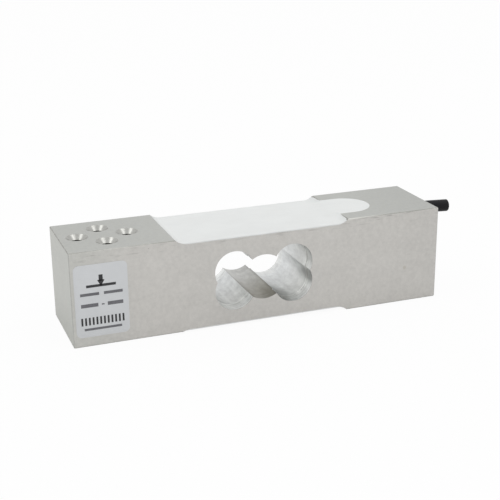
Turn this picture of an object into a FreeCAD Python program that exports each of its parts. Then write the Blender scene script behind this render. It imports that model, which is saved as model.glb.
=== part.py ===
"""Single point load cell: a milled aluminium bar that bends over four thin webs.

The origin is on the fixed end's underside seat, at the middle of its bolt diamond. +Z is up, +X runs along
the bar towards the cable, so the load end lies at -X. Units are millimetres.
"""
import FreeCAD, Part
import math
import os

Vector = FreeCAD.Vector
X_AXIS = Vector(1, 0, 0)
Y_AXIS = Vector(0, 1, 0)
Z_AXIS = Vector(0, 0, 1)

# ---- bar ----
bar_width = 35.0
bar_height = 38.0
end_block = 39.8          # length of each solid mounting end, from the recess to the end face
edge_break = 0.3          # chamfer on the bar's outer edges
load_relief = 1.2         # how much higher the load end's underside stands than the fixed seat

# ---- cut-out through the width ----
lobe_offset = 12.0        # lobe axes from the bar's middle, along X
lobe_radius = 8.0
web = 5.2                 # thinnest metal between a lobe and the recess floor
waist_radius = 9.0        # middle bore that joins the lobes
mouth_depth = 5.0         # length of the wider mouth of each lobe
mouth_step = 0.3          # how much wider the mouth is

# ---- milled recesses, top and bottom ----
recess_depth = 2.0
recess_cutter = 7.0       # radius that the cutter leaves at each end

# ---- wire passage between the recesses ----
passage_radius = 1.4
passage_wall = 7.3        # metal between the lobes and the passage
passage_margin = 0.2      # passage to the end of the flat floor, and to the pocket's root

# ---- tapped and countersunk holes: a diamond at each end ----
hole_inset = 16.5         # middle of the diamond from the end face
hole_span_x = 19.0
hole_span_y = 16.0
hole_radius = 3.0         # M6, at the thread's outer diameter
hole_depth = 18.0
countersink_radius = 4.2
drill_tip_angle = 118.0

# ---- cable and its bore ----
cable_radius = 2.5
jacket_wall = 0.75
shield_wall = 0.2
seal_wall = 0.5           # seal sleeve between the cable and the bore
seal_length = 14.0
seal_setback = 0.4        # sleeve end below the end face
bore_cover = 1.9          # metal above the cable bore
stub_straight = 4.0       # straight length outside the end face
stub_drooped = 10.0       # rest of the stub, which droops a little
stub_droop = 3.0          # degrees
core_radius = 0.6
conductor_radius = 0.3
core_gap = 0.04           # between neighbouring cores in the cable
strip_length = 1.8        # bare conductor at the board
drain_radius = 0.3
core_fan = 1.2            # from the jacket's end to where the lower cores fan out

# ---- pocket for the board ----
pocket_width = 20.0
pocket_tip_wall = 23.2    # pocket's round tip from the fixed end face
pocket_corner = 3.0       # corners of its root
board_room = 2.1          # height under the cable bore

# ---- board ----
board_thickness = 0.8
board_side_gap = 3.0
board_end_gap = 0.8
pad_thickness = 0.05
pad_length = 1.6
pad_width = 0.9
pad_pitch = 1.5
pad_edge = 0.6            # pads from the board's edge
lead_pads = 8
cable_pads = 5
cable_pad_pitch = 2.4
cable_pad_setback = 4.2   # pads for the cable from the board's round-end side
resistor_count = 3
resistor_length = 3.2
resistor_width = 1.6
resistor_height = 0.6
resistor_gap = 1.2
resistor_end = 0.65       # how far a chip's end pads reach in and out

# ---- strain gauges ----
carrier_length = 9.6
carrier_width = 5.4
carrier_thickness = 0.08
foil_thickness = 0.05
foil_lines = 6
foil_pitch = 0.5
foil_line = 0.25          # width of one line of the grid
foil_run = 5.0            # length of a line
foil_tab_length = 1.4
foil_tab_width = 1.1
foil_inset = 0.6          # grid from the carrier's far end

# ---- gauge leads ----
lead_side = 0.24
lead_clear = 0.6          # leads from the carriers they pass
lead_overlap = 0.8        # lead on a tab or a pad
lead_rise = 1.0           # how far leads rise above the board before they turn to it
rise_outer = 0.85         # leads from the passage's middle, along Y: outer and inner pair
rise_inner = 0.3
rise_step = 0.25          # and along X

# ---- sealant ----
skin = 0.25               # thickness at the bar's sides
top_crown = 1.3           # thickness in the middle
bottom_crown = 0.75
tongue_drop = 0.06        # sealant in the pocket below the bar's top
tip_skin = 0.05           # what is left of the skin at the recess edge

# ---- label ----
label_width = 20.0
label_margin_z = 5.0      # label from the bar's top and bottom
label_inset = 1.3         # label from the load end
label_corner = 2.0
label_thickness = 0.15

# ---- places that follow from the sizes above ----
OVER = 1.0                # how far cutting tools run past what they cut
cutter_run = math.sqrt(recess_cutter ** 2 - (recess_cutter - recess_depth) ** 2)
passage_offset = lobe_offset + lobe_radius + passage_wall + passage_radius
flat_half = passage_offset + passage_radius + passage_margin
recess_half = flat_half + cutter_run
bar_length = 2 * (recess_half + end_block)
x_fixed = hole_inset
x_load = hole_inset - bar_length
x_mid = hole_inset - bar_length / 2
x_load_holes = x_load + hole_inset
z_axis = bar_height / 2
z_top_floor = bar_height - recess_depth
z_bottom_floor = recess_depth
side = bar_width / 2

bore_radius = cable_radius + seal_wall
z_cable = bar_height - bore_cover - bore_radius
z_pocket = z_cable - bore_radius - board_room
pocket_half = pocket_width / 2
x_tip = x_fixed - pocket_tip_wall
x_passage = x_mid + passage_offset
x_root = x_passage - passage_radius - passage_margin

board_half = pocket_half - board_side_gap
x_board = x_passage + passage_radius + board_end_gap
x_tip_centre = x_tip - pocket_half
board_corner_reach = math.sqrt((pocket_half - board_end_gap) ** 2 - board_half ** 2)
x_board_end = x_tip_centre + board_corner_reach
z_board = z_pocket + board_thickness
z_pads = z_board + pad_thickness

x_jacket_end = x_tip - board_end_gap
shield_radius = cable_radius - jacket_wall
core_offset = (core_radius + core_gap / 2) * math.sqrt(2)


def box(x0, x1, y0, y1, z0, z1):
    """Box between two corners."""
    return Part.makeBox(x1 - x0, y1 - y0, z1 - z0, Vector(x0, y0, z0))


def cylinder_y(radius, x, z, y0, y1):
    """Cylinder along Y."""
    return Part.makeCylinder(radius, y1 - y0, Vector(x, y0, z), Y_AXIS)


def prism(points, direction):
    """Straight prism on a closed polygon."""
    outline = Part.makePolygon(points + [points[0]])
    return Part.Face(outline).extrude(direction)


def arc(centre, start, middle_direction, end):
    """Arc from start to end about centre, by way of middle_direction."""
    reach = (start - centre).Length
    middle = centre + middle_direction * (reach / middle_direction.Length)
    return Part.Arc(start, middle, end).toShape()


# ---------------------------------------------------------------- spring element
def block_end(x0, x1, z0, x_seam):
    """One half of the bar with its outer edges broken; the edges on the seam stay sharp."""
    block = box(x0, x1, -side, side, z0, bar_height)
    outer = [edge for edge in block.Edges
             if any(abs(vertex.X - x_seam) > OVER for vertex in edge.Vertexes)]
    return block.makeChamfer(edge_break, outer)


def bar_blank():
    """Bar before milling: the load end's underside stands above the fixed seat."""
    load_half = block_end(x_load, x_mid, load_relief, x_mid)
    fixed_half = block_end(x_mid, x_fixed, 0.0, x_mid)
    return load_half.fuse(fixed_half).removeSplitter()


def cutter_slot(half, radius, z_floor, upward):
    """Volume that a cylindrical cutter sweeps across the bar, with its lowest point on z_floor."""
    z_centre = z_floor + radius * upward
    z_far = z_floor + 2 * radius * upward
    left = x_mid - half
    right = x_mid + half
    y = -side - OVER
    ends = [
        Part.LineSegment(Vector(left, y, z_floor), Vector(right, y, z_floor)).toShape(),
        arc(Vector(right, y, z_centre), Vector(right, y, z_floor), X_AXIS, Vector(right, y, z_far)),
        Part.LineSegment(Vector(right, y, z_far), Vector(left, y, z_far)).toShape(),
        arc(Vector(left, y, z_centre), Vector(left, y, z_far), -X_AXIS, Vector(left, y, z_floor)),
    ]
    return Part.Face(Part.Wire(ends)).extrude(Vector(0, bar_width + 2 * OVER, 0))


def top_slot():
    """Milled recess across the top."""
    return cutter_slot(flat_half, recess_cutter, z_top_floor, 1)


def bottom_slot():
    """Milled recess across the underside."""
    return cutter_slot(flat_half, recess_cutter, z_bottom_floor, -1)


def cut_out():
    """Four lobes and the middle bore; each lobe has a slightly wider mouth at both faces."""
    body = cylinder_y(waist_radius, x_mid, z_axis, -side - OVER, side + OVER)
    z_lobes = (z_top_floor - web - lobe_radius, z_bottom_floor + web + lobe_radius)
    inner_radius = lobe_radius - mouth_step
    for x_lobe in (x_mid - lobe_offset, x_mid + lobe_offset):
        for z_lobe in z_lobes:
            body = body.fuse(cylinder_y(inner_radius, x_lobe, z_lobe, -side, side))
            for face_y, inward in ((-side, Y_AXIS), (side, -Y_AXIS)):
                start = Vector(x_lobe, face_y, z_lobe) - inward * OVER
                mouth = Part.makeCylinder(lobe_radius, mouth_depth + OVER, start, inward)
                body = body.fuse(mouth)
    return body.removeSplitter()


def tapped_hole(x, y, z_face, downward):
    """Countersunk blind hole with a drill tip; downward is 1 from a top face and -1 from an underside."""
    tip = hole_radius / math.tan(math.radians(drill_tip_angle / 2))
    profile = [
        Vector(0, 0, OVER),
        Vector(countersink_radius + OVER, 0, OVER),
        Vector(hole_radius, 0, hole_radius - countersink_radius),
        Vector(hole_radius, 0, -hole_depth),
        Vector(0, 0, -hole_depth - tip),
    ]
    face = Part.Face(Part.makePolygon(profile + [profile[0]]))
    hole = face.revolve(Vector(0, 0, 0), Z_AXIS, 360)
    if downward < 0:
        hole.rotate(Vector(0, 0, 0), X_AXIS, 180)
    hole.translate(Vector(x, y, z_face))
    return hole


def hole_diamond(x_centre, z_face, downward):
    """Four tapped holes: two along the bar and two across it."""
    places = (
        (x_centre - hole_span_x / 2, 0),
        (x_centre + hole_span_x / 2, 0),
        (x_centre, -hole_span_y / 2),
        (x_centre, hole_span_y / 2),
    )
    return [tapped_hole(x, y, z_face, downward) for x, y in places]


def tongue(z0, z1):
    """Pocket outline: a round tip towards the fixed end and a square root with small corners."""
    r = pocket_corner
    h = pocket_half
    inner = pocket_half - pocket_corner
    edges = [
        Part.LineSegment(Vector(x_root + r, -h, z0), Vector(x_tip_centre, -h, z0)).toShape(),
        arc(Vector(x_tip_centre, 0, z0), Vector(x_tip_centre, -h, z0), Vector(1, 0, 0),
            Vector(x_tip_centre, h, z0)),
        Part.LineSegment(Vector(x_tip_centre, h, z0), Vector(x_root + r, h, z0)).toShape(),
        arc(Vector(x_root + r, inner, z0), Vector(x_root + r, h, z0), Vector(-1, 1, 0),
            Vector(x_root, inner, z0)),
        Part.LineSegment(Vector(x_root, inner, z0), Vector(x_root, -inner, z0)).toShape(),
        arc(Vector(x_root + r, -inner, z0), Vector(x_root, -inner, z0), Vector(-1, -1, 0),
            Vector(x_root + r, -h, z0)),
    ]
    return Part.Face(Part.Wire(edges)).extrude(Vector(0, 0, z1 - z0))


def spring_element(blank):
    """Finished bar: recesses, cut-out, pocket, cable bore, wire passage and tapped holes."""
    bore_length = x_fixed + OVER - x_tip_centre
    cable_bore = Part.makeCylinder(bore_radius, bore_length, Vector(x_fixed + OVER, 0, z_cable), -X_AXIS)
    passage = Part.makeCylinder(passage_radius, z_pocket + OVER, Vector(x_passage, 0, 0), Z_AXIS)
    tools = [top_slot(), bottom_slot(), cut_out(), tongue(z_pocket, bar_height + OVER), cable_bore, passage]
    tools += hole_diamond(x_load_holes, bar_height, 1)
    tools += hole_diamond(0.0, 0.0, -1)
    return blank.cut(tools)


# ---------------------------------------------------------------- strain gauges
def foil_grid():
    """Meander grid with two solder tabs, drawn flat at the origin with its far end towards -X."""
    x0 = -carrier_length / 2 + foil_inset
    x1 = x0 + foil_run
    y_first = -(foil_lines - 1) * foil_pitch / 2
    half_line = foil_line / 2
    pieces = []
    for index in range(foil_lines):
        y = y_first + index * foil_pitch
        pieces.append(box(x0, x1, y - half_line, y + half_line, 0, foil_thickness))
        if index < foil_lines - 1:
            x_turn = x0 if index % 2 == 0 else x1 - foil_line
            pieces.append(box(x_turn, x_turn + foil_line, y, y + foil_pitch, 0, foil_thickness))
    tab_outer = y_first - half_line
    for sign in (-1, 1):
        y_edges = sorted((sign * tab_outer, sign * (tab_outer + foil_tab_width)))
        pieces.append(box(x1, x1 + foil_tab_length, y_edges[0], y_edges[1], 0, foil_thickness))
    return pieces[0].fuse(pieces[1:]).removeSplitter()


def place_gauge_layer(shape, x_gauge, level, top):
    """Put a flat layer on the top recess floor, or turned over on the bottom one."""
    placed = shape.copy()
    placed.translate(Vector(0, 0, level))
    if not top:
        placed.rotate(Vector(0, 0, 0), X_AXIS, 180)
    placed.translate(Vector(x_gauge, 0, z_top_floor if top else z_bottom_floor))
    return placed


def strain_gauges():
    """Carrier and foil of each gauge, over the four webs."""
    carrier = box(-carrier_length / 2, carrier_length / 2, -carrier_width / 2, carrier_width / 2,
                  0, carrier_thickness)
    grid = foil_grid()
    gauges = {}
    for level_name, top in (("top", True), ("bottom", False)):
        for end_name, x_gauge in (("load", x_mid - lobe_offset), ("fixed", x_mid + lobe_offset)):
            name = level_name + "_" + end_name
            gauges["gauge_carrier_" + name] = place_gauge_layer(carrier, x_gauge, 0.0, top)
            gauges["gauge_foil_" + name] = place_gauge_layer(grid, x_gauge, carrier_thickness, top)
    return gauges


def gauge_covers():
    """Space under the film that covers each grid, which the sealant stays out of."""
    half_length = carrier_length / 2
    half_width = carrier_width / 2
    cover = box(-half_length, half_length, -half_width, half_width, 0, foil_thickness)
    return [place_gauge_layer(cover, x_mid + sign * lobe_offset, carrier_thickness, top)
            for top in (True, False) for sign in (-1, 1)]


# ---------------------------------------------------------------- board
def pad_row(x, count, pitch):
    """Centres of a row across the board, even about its middle."""
    return [Vector(x, (index - (count - 1) / 2) * pitch, z_board) for index in range(count)]


def pad_rows():
    """Pad centres: one row for the gauge leads on the root side, one for the cable on the tip side."""
    x_leads = x_board + pad_edge + pad_length / 2
    x_cable = x_board_end - cable_pad_setback
    return pad_row(x_leads, lead_pads, pad_pitch), pad_row(x_cable, cable_pads, cable_pad_pitch)


def resistor_places():
    """Centres of the chips, between the two rows of pads."""
    x_leads = x_board + pad_edge + pad_length
    x_cable = x_board_end - cable_pad_setback - pad_length / 2
    x = (x_leads + x_cable) / 2
    step = resistor_width + resistor_gap
    return [Vector(x, (index - (resistor_count - 1) / 2) * step, z_pads) for index in range(resistor_count)]


def pad_at(centre):
    """Solder pad of the board's usual size."""
    return box(centre.x - pad_length / 2, centre.x + pad_length / 2,
               centre.y - pad_width / 2, centre.y + pad_width / 2, z_board, z_pads)


def resistor_pad(centre, sign):
    """Pad under one end of a chip."""
    x_end = centre.x + sign * resistor_length / 2
    half = resistor_width / 2
    return box(x_end - resistor_end, x_end + resistor_end, centre.y - half, centre.y + half, z_board, z_pads)


def bridge_board():
    """Board on the pocket's floor, which joins the gauges into a bridge."""
    return box(x_board, x_board_end, -board_half, board_half, z_pocket, z_board)


def board_pads():
    """Copper pads for the leads, the cable and the chips."""
    leads, cable = pad_rows()
    pads = [pad_at(centre) for centre in leads + cable]
    for centre in resistor_places():
        pads += [resistor_pad(centre, -1), resistor_pad(centre, 1)]
    return Part.makeCompound(pads)


def trim_resistors():
    """Chips that trim the bridge's zero and its change with temperature."""
    chips = []
    for centre in resistor_places():
        chips.append(box(centre.x - resistor_length / 2, centre.x + resistor_length / 2,
                         centre.y - resistor_width / 2, centre.y + resistor_width / 2,
                         z_pads, z_pads + resistor_height))
    return Part.makeCompound(chips)


# ---------------------------------------------------------------- gauge leads
def bar_along(points, profile):
    """Bar of one profile along straight runs, with mitred corners."""
    shell = Part.BRepOffsetAPI.MakePipeShell(Part.makePolygon(points))
    shell.setTransitionMode(1)
    shell.add(profile)
    shell.build()
    shell.makeSolid()
    return shell.shape()


def round_bar(points, radius):
    """Round bar along straight runs."""
    circle = Part.makeCircle(radius, points[0], points[1] - points[0])
    return bar_along(points, Part.Wire([circle]))


def square_lead(points):
    """Gauge lead of a square section, level where it starts."""
    along = (points[1] - points[0]).normalize()
    across = Z_AXIS.cross(along).normalize() * (lead_side / 2)
    upward = Z_AXIS * (lead_side / 2)
    low = points[0] - upward
    high = points[0] + upward
    corners = [low - across, low + across, high + across, high - across]
    return bar_along(points, Part.makePolygon(corners + [corners[0]]))


def lead_route(x_gauge, sign, top, bypass):
    """Floor part of a lead: off its tab, and out past the next gauge where it has to."""
    stack = carrier_thickness + foil_thickness + lead_side / 2
    z = z_top_floor + stack if top else z_bottom_floor - stack
    x_tab = x_gauge - carrier_length / 2 + foil_inset + foil_run + foil_tab_length
    y_tab = sign * ((foil_lines - 1) * foil_pitch / 2 + foil_line / 2 - foil_tab_width / 2)
    y_side = sign * (carrier_width / 2 + lead_clear)
    points = [Vector(x_tab - lead_overlap, y_tab, z)]
    if bypass:
        x_past = x_gauge + carrier_length / 2 + lead_clear
        points += [Vector(x_past, y_tab, z), Vector(x_past + lead_clear + abs(y_side - y_tab), y_side, z)]
    return points, z


def top_gauge_leads():
    """Leads of the two upper gauges, over the pocket's root and down to the board."""
    pads = pad_rows()[0]
    z_end = z_pads + lead_side
    leads = []
    for x_gauge, bypass, pad_index in ((x_mid - lobe_offset, True, 0), (x_mid + lobe_offset, False, 1)):
        for sign in (-1, 1):
            pad = pads[pad_index] if sign < 0 else pads[len(pads) - 1 - pad_index]
            points, z = lead_route(x_gauge, sign, True, bypass)
            points += [Vector(x_root + passage_radius, points[-1].y, z),
                       Vector(pad.x - lead_overlap, pad.y, z_end),
                       Vector(pad.x + lead_overlap / 2, pad.y, z_end)]
            leads.append(square_lead(points))
    return Part.makeCompound(leads)


def bottom_gauge_leads():
    """Leads of the two lower gauges, along the floor, up the passage and onto the board."""
    pads = pad_rows()[0]
    z_end = z_pads + lead_side
    x_near = x_root - lead_clear - lead_side
    outer = (x_mid - lobe_offset, True, 2, x_passage - rise_step, rise_outer)
    inner = (x_mid + lobe_offset, False, 3, x_passage + rise_step, rise_inner)
    leads = []
    for x_gauge, bypass, pad_index, x_rise, y_rise in (outer, inner):
        for sign in (-1, 1):
            pad = pads[pad_index] if sign < 0 else pads[len(pads) - 1 - pad_index]
            points, z = lead_route(x_gauge, sign, False, bypass)
            points += [
                Vector(x_near, points[-1].y, z),
                Vector(x_rise, sign * y_rise, z),
                Vector(x_rise, sign * y_rise, z_end + lead_rise),
                Vector(pad.x - lead_overlap, pad.y, z_end),
                Vector(pad.x + lead_overlap / 2, pad.y, z_end),
            ]
            leads.append(square_lead(points))
    return Part.makeCompound(leads)


# ---------------------------------------------------------------- cable
def stub_points(x_start, y, z):
    """Straight from x_start to a little outside the end face, then a slight droop to the cut end."""
    droop = math.radians(stub_droop)
    x_bend = x_fixed + stub_straight
    return [
        Vector(x_start, y, z),
        Vector(x_bend, y, z),
        Vector(x_bend + stub_drooped * math.cos(droop), y, z - stub_drooped * math.sin(droop)),
    ]


def cable_jacket():
    """Outer jacket of the cable."""
    points = stub_points(x_jacket_end, 0, z_cable)
    return round_bar(points, cable_radius).cut(round_bar(points, shield_radius))


def cable_shield():
    """Braid inside the jacket."""
    points = stub_points(x_jacket_end, 0, z_cable)
    return round_bar(points, shield_radius).cut(round_bar(points, shield_radius - shield_wall))


def cable_cores():
    """Four insulated cores, fanned out from the jacket's end: the upper ones go to the outer pads."""
    pads = pad_rows()[1]
    half_offset = core_offset / math.sqrt(2)
    cores = {}
    bare_ends = []
    places = (
        ("red", -1, 1, 0),
        ("black", -1, -1, 1),
        ("green", 1, -1, 3),
        ("white", 1, 1, 4),
    )
    for colour, y_sign, z_sign, pad_index in places:
        pad = pads[pad_index]
        lag = core_radius * (1 + z_sign)
        z_core = z_cable + z_sign * half_offset
        head = stub_points(x_jacket_end - core_fan - lag, y_sign * half_offset, z_core)
        tip = Vector(pad.x, pad.y, z_pads + conductor_radius)
        rise = (head[0] - tip).normalize()
        foot = tip + rise * strip_length
        cores["core_" + colour] = round_bar([foot] + head, core_radius)
        bare_ends.append(Part.makeCylinder(conductor_radius, strip_length, tip, rise))
    cores["core_conductors"] = Part.makeCompound(bare_ends)
    return cores


def drain_wire():
    """Twisted shield end, from the shield to the middle pad."""
    pad = pad_rows()[1][cable_pads // 2]
    z_shield = z_cable - shield_radius + shield_wall / 2
    return round_bar([
        Vector(pad.x, pad.y, z_pads + drain_radius),
        Vector(x_jacket_end - core_fan / 2, pad.y, z_shield),
        Vector(x_jacket_end, pad.y, z_shield),
    ], drain_radius)


def cable_end_outline():
    """Whole round of the jacket where it stands in the pocket."""
    return Part.makeCylinder(cable_radius, x_tip - x_jacket_end, Vector(x_jacket_end, 0, z_cable), X_AXIS)


def cable_seal():
    """Sleeve that seals the cable in its bore."""
    start = Vector(x_fixed - seal_setback, 0, z_cable)
    outer = Part.makeCylinder(bore_radius, seal_length, start, -X_AXIS)
    return outer.cut(Part.makeCylinder(cable_radius, seal_length, start, -X_AXIS))


# ---------------------------------------------------------------- sealant
def sealant_layer(blank, z_floor, upward, crown):
    """Silicone on a recess floor: a thin skin up both end curves, and a low crown along the middle."""
    void = blank.common(cutter_slot(flat_half, recess_cutter, z_floor, upward))
    clear_depth = recess_depth - skin
    clear_run = cutter_run - tip_skin
    clear_radius = (clear_run ** 2 + clear_depth ** 2) / (2 * clear_depth)
    film = void.cut(cutter_slot(flat_half, clear_radius, z_floor + skin * upward, upward))
    x0 = x_mid - recess_half
    z_edge = z_floor + skin * upward
    edges = [
        Part.Arc(Vector(x0, -side, z_edge), Vector(x0, 0, z_floor + crown * upward),
                 Vector(x0, side, z_edge)).toShape(),
        Part.LineSegment(Vector(x0, side, z_edge), Vector(x0, side, z_floor)).toShape(),
        Part.LineSegment(Vector(x0, side, z_floor), Vector(x0, -side, z_floor)).toShape(),
        Part.LineSegment(Vector(x0, -side, z_floor), Vector(x0, -side, z_edge)).toShape(),
    ]
    dome = Part.Face(Part.Wire(edges)).extrude(Vector(2 * recess_half, 0, 0))
    return film.fuse(void.common(dome)).removeSplitter()


def pocket_fill():
    """Silicone in the pocket: nearly flush at its tip, and sloping down to the layer at its root."""
    z_flush = bar_height - tongue_drop
    z_layer = z_top_floor + top_crown
    y = -pocket_half - OVER
    profile = [
        Vector(x_root - OVER, y, z_pocket),
        Vector(x_tip + OVER, y, z_pocket),
        Vector(x_tip + OVER, y, z_flush),
        Vector(x_mid + recess_half, y, z_flush),
        Vector(x_root, y, z_layer),
        Vector(x_root - OVER, y, z_layer),
    ]
    slope = prism(profile, Vector(0, pocket_width + 2 * OVER, 0))
    return tongue(z_pocket, bar_height).common(slope)


def label():
    """Thin plate with rounded corners on the front face, near the load end."""
    x0 = x_load + label_inset
    z1 = bar_height - label_margin_z
    plate = box(x0, x0 + label_width, -side - label_thickness, -side, label_margin_z, z1)
    corners = [edge for edge in plate.Edges if abs(edge.tangentAt(edge.FirstParameter).y) > 0.9]
    return plate.makeFillet(label_corner, corners)


def build():
    """Every piece by its name."""
    blank = bar_blank()
    parts = {"spring_element": spring_element(blank)}
    parts.update(strain_gauges())
    parts["bridge_board"] = bridge_board()
    parts["board_pads"] = board_pads()
    parts["trim_resistors"] = trim_resistors()
    parts["top_gauge_leads"] = top_gauge_leads()
    parts["bottom_gauge_leads"] = bottom_gauge_leads()
    parts["cable_jacket"] = cable_jacket()
    parts["cable_shield"] = cable_shield()
    parts.update(cable_cores())
    parts["drain_wire"] = drain_wire()
    parts["cable_seal"] = cable_seal()
    uncut = ("spring_element", "cable_shield", "cable_seal")
    embedded = [shape for name, shape in parts.items() if name not in uncut and "foil" not in name]
    embedded += gauge_covers() + [cable_end_outline()]
    top_layer = sealant_layer(blank, z_top_floor, 1, top_crown).fuse(pocket_fill()).removeSplitter()
    parts["top_sealant"] = top_layer.cut(embedded)
    parts["bottom_sealant"] = sealant_layer(blank, z_bottom_floor, -1, bottom_crown).cut(embedded)
    parts["label"] = label()
    return parts


os.makedirs("parts", exist_ok=True)
for node, shape in build().items():
    shape.exportStep("parts/" + node + ".step")
    state = "valid" if shape.isValid() else "INVALID"
    print(node, len(shape.Solids), "solids", round(shape.Volume, 2), "mm3", state)
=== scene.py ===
"""Looks of a single point load cell: milled aluminium, poured silicone, a cut cable stub and a film label.

Sizes in the classes are millimetres. Meshes are made in millimetres and turned to metres at the end.
"""

import logging
import math
from dataclasses import dataclass, field
from enum import Enum
from functools import partial
from itertools import product
from typing import Any, Callable, ClassVar, NamedTuple, Sequence

import bmesh
import bpy
from bmesh.types import BMesh, BMEdge, BMVert
from bpy.types import Material, Node, NodeSocket, NodeTree, Object, World
from mathutils import Matrix, Vector, noise

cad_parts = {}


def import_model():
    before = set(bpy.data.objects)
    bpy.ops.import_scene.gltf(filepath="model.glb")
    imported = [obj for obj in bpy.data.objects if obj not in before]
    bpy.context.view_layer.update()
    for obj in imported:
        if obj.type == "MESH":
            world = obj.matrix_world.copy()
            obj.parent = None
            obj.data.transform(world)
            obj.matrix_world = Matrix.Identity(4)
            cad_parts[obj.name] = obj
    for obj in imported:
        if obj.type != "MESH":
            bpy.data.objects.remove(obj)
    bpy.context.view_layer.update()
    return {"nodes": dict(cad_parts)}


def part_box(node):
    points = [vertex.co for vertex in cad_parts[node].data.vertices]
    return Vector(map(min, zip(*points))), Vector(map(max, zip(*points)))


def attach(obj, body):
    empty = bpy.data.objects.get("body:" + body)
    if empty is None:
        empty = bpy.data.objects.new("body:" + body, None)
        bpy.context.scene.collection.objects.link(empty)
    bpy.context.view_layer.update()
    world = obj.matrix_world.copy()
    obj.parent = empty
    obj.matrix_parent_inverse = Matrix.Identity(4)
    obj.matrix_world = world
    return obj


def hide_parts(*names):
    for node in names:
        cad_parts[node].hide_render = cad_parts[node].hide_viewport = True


LOG = logging.getLogger("load_cell")
MM = 0.001
BODY = "root"
BAR_NODE = "spring_element"
WHITE = "#FFFFFF"
# How close two places count as one, and how close to a cut a vertex is taken as on it, in millimetres.
SAME_PLACE = 0.01
CUT_MERGE = 1e-4
# Turns a form that stands along Z to lie along X.
ALONG_X = Matrix.Rotation(math.pi / 2, 3, "Y")

Colour = tuple[float, float, float, float]
Point = tuple[float, float, float]
Box = tuple[Point, Point]
Value = Node | NodeSocket | float

# Settings of the nodes that the finishes use most.
SMOOTH = {"interpolation_type": "SMOOTHSTEP"}
BLEND = {"data_type": "RGBA"}
NUMBERS = {"data_type": "FLOAT"}
TIMES = {"operation": "MULTIPLY"}
MINUS = {"operation": "SUBTRACT"}
TIMES_PLUS = {"operation": "MULTIPLY_ADD"}
LARGER = {"operation": "MAXIMUM"}
UNDER = {"operation": "LESS_THAN"}
SIZED = {"operation": "SCALE"}
UNSIGNED = {"operation": "ABSOLUTE"}
LENGTH = {"operation": "LENGTH"}


# ------------------------------------------------------------------ colour and node tools
def linear(hex_colour: str, share: float = 1.0) -> Colour:
    """Turn an sRGB hex colour into linear RGBA.

    Args:
        hex_colour: Colour as "#RRGGBB".
        share: Factor on the light that it sends back.

    Returns:
        Linear red, green and blue, at most 1, and an alpha of 1.
    """
    channels = [int(hex_colour[i : i + 2], 16) / 255 for i in (1, 3, 5)]
    red, green, blue = (c / 12.92 if c <= 0.04045 else ((c + 0.055) / 1.055) ** 2.4 for c in channels)
    return min(red * share, 1.0), min(green * share, 1.0), min(blue * share, 1.0), 1.0


def add_node(
    tree: NodeTree, kind: str, settings: dict[str, Any] | None = None, inputs: dict[Any, Any] | None = None
) -> Node:
    """Add one node, set its properties, and fill or link its inputs.

    Args:
        tree: Node tree that gets the node.
        kind: Node type without its prefix, such as "TexNoise".
        settings: Properties by name.
        inputs: Inputs by name or number. A socket is linked, a node is linked from its output in use, and
            anything else is set.

    Returns:
        The new node.
    """
    node = tree.nodes.new("ShaderNode" + kind)
    for name, value in (settings or {}).items():
        setattr(node, name, value)
    for name, value in (inputs or {}).items():
        socket = next(s for i, s in enumerate(node.inputs) if s.enabled and name in (s.name, i))
        if isinstance(value, Node):
            value = next(s for s in value.outputs if s.enabled)
        if isinstance(value, NodeSocket):
            tree.links.new(value, socket)
        else:
            socket.default_value = value
    return node


def cleared(block: Material | World) -> Callable[..., Node]:
    """Clear a material's or a world's nodes.

    Args:
        block: The material or world.

    Returns:
        What adds a node there.
    """
    block.use_nodes = True
    block.node_tree.nodes.clear()
    return partial(add_node, block.node_tree)


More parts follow.
